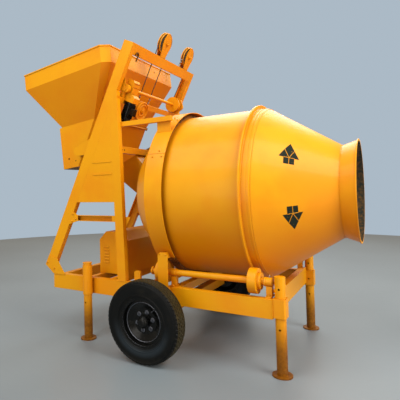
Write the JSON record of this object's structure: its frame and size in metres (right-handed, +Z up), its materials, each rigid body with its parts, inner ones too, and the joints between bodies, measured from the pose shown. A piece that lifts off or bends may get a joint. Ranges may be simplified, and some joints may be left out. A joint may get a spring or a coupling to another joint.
{
  "type": "portable concrete mixer",
  "caption": "Towable drum concrete mixer: double-cone drum on roller shafts, hoisted feed hopper on inclined rails, wheeled channel frame with jack legs.",
  "frame": {"origin": "on the ground, under the middle of the machine's length and width", "axes": "+X along the frame toward the drum's mouth, +Y across to the side away from the viewer, +Z up"},
  "size_m": [3.5054, 2.148, 3.3301],
  "materials": {
    "yellow_paint": "glossy yellow enamel",
    "hopper_paint": "glossy yellow enamel, dusty inside",
    "drum_paint": "glossy yellow enamel on rolled plate",
    "wheel_paint": "black enamel",
    "tyre_rubber": "matt black rubber",
    "gear_iron": "greased cast gear"
  },
  "bodies": {
    "frame": {"axle": "yellow_paint", "cross_members": "yellow_paint", "drive_bearings": "yellow_paint", "end_beam_left": "yellow_paint", "end_beam_right": "yellow_paint", "feed_chute": "yellow_paint", "gear_guard": "yellow_paint", "guard_bars": "yellow_paint", "guard_posts": "yellow_paint", "hoist_bearings": "yellow_paint", "hoist_gear_case": "yellow_paint", "hoist_motor": "wheel_paint", "leg_far_left": "yellow_paint", "leg_far_right": "yellow_paint", "leg_near_left": "yellow_paint", "leg_near_right": "yellow_paint", "leg_sleeves": "yellow_paint", "motor_cover": "yellow_paint", "rail_far": "yellow_paint", "rail_near": "yellow_paint", "rail_top_beam": "yellow_paint", "shaft_bearings": "yellow_paint", "sheave_cheeks": "yellow_paint", "side_beam_far": "yellow_paint", "side_beam_near": "yellow_paint", "side_plate_far": "yellow_paint", "side_plate_near": "yellow_paint", "tower_bars": "yellow_paint", "tower_post_far": "yellow_paint", "tower_post_near": "yellow_paint"},
    "wheel_near": {"tyre_near": "tyre_rubber", "wheel_near": "wheel_paint"},
    "wheel_far": {"tyre_far": "tyre_rubber", "wheel_far": "wheel_paint"},
    "drum": {"drum_shell": "drum_paint", "rolling_rings": "drum_paint", "ring_gear": "gear_iron", "mixing_blades": "drum_paint"},
    "roller_shaft_near": {"roller_shaft_near": "yellow_paint"},
    "roller_shaft_far": {"roller_shaft_far": "yellow_paint"},
    "pinion": {"drive_pinion": "gear_iron"},
    "hopper": {"hopper": "hopper_paint", "hopper_carriage": "hopper_paint"},
    "gate": {"hopper_gate": "hopper_paint"},
    "sheave_low": {"sheave_low": "yellow_paint"},
    "sheave_middle": {"sheave_middle": "gear_iron"},
    "sheave_far": {"sheave_far": "gear_iron"},
    "hoist": {"hoist_shaft": "yellow_paint"}
  },
  "joints": [
    {"name": "wheel_near_spin", "type": "hinge", "parent": "frame", "child": "wheel_near", "pos_m": [0.05474, -0.985, 0.375], "axis": [0, 1, 0], "continuous": true},
    {"name": "wheel_far_spin", "type": "hinge", "parent": "frame", "child": "wheel_far", "pos_m": [0.05474, 0.985, 0.375], "axis": [0, 1, 0], "continuous": true},
    {"name": "drum_spin", "type": "hinge", "parent": "frame", "child": "drum", "pos_m": [0.05474, 0, 1.51082], "axis": [1, 0, 0], "continuous": true},
    {"name": "roller_near_spin", "type": "hinge", "parent": "frame", "child": "roller_shaft_near", "pos_m": [0.05474, -0.632, 0.76], "axis": [1, 0, 0], "continuous": true},
    {"name": "roller_far_spin", "type": "hinge", "parent": "frame", "child": "roller_shaft_far", "pos_m": [0.05474, 0.632, 0.76], "axis": [1, 0, 0], "continuous": true},
    {"name": "pinion_spin", "type": "hinge", "parent": "frame", "child": "pinion", "pos_m": [0.05474, 0.3, 0.61111], "axis": [1, 0, 0], "continuous": true},
    {"name": "hopper_slide", "type": "slide", "parent": "frame", "child": "hopper", "axis": [-0.4431, 0, -0.8965], "range_m": [0, 1.3]},
    {"name": "gate_hinge", "type": "hinge", "parent": "hopper", "child": "gate", "pos_m": [-0.80948, 0, 2.38227], "axis": [0, -1, 0], "range_deg": [0, 25]},
    {"name": "sheave_low_spin", "type": "hinge", "parent": "frame", "child": "sheave_low", "pos_m": [-0.40457, -0.26, 2.45937], "axis": [0.8965, 0, -0.4431], "continuous": true},
    {"name": "sheave_middle_spin", "type": "hinge", "parent": "frame", "child": "sheave_middle", "pos_m": [-0.14106, -0.13, 3.21147], "axis": [0.8965, 0, -0.4431], "continuous": true},
    {"name": "sheave_far_spin", "type": "hinge", "parent": "frame", "child": "sheave_far", "pos_m": [-0.14106, 0.441, 3.21147], "axis": [0.8965, 0, -0.4431], "continuous": true},
    {"name": "hoist_spin", "type": "hinge", "parent": "frame", "child": "hoist", "pos_m": [-0.34906, 0, 2.63941], "axis": [0, 1, 0], "continuous": true}
  ],
  "couplings": [
    {"joint": "roller_near_spin", "follows": "drum_spin", "ratio": -7.9182},
    {"joint": "roller_far_spin", "follows": "drum_spin", "ratio": -7.9182},
    {"joint": "pinion_spin", "follows": "drum_spin", "ratio": -9}
  ]
}
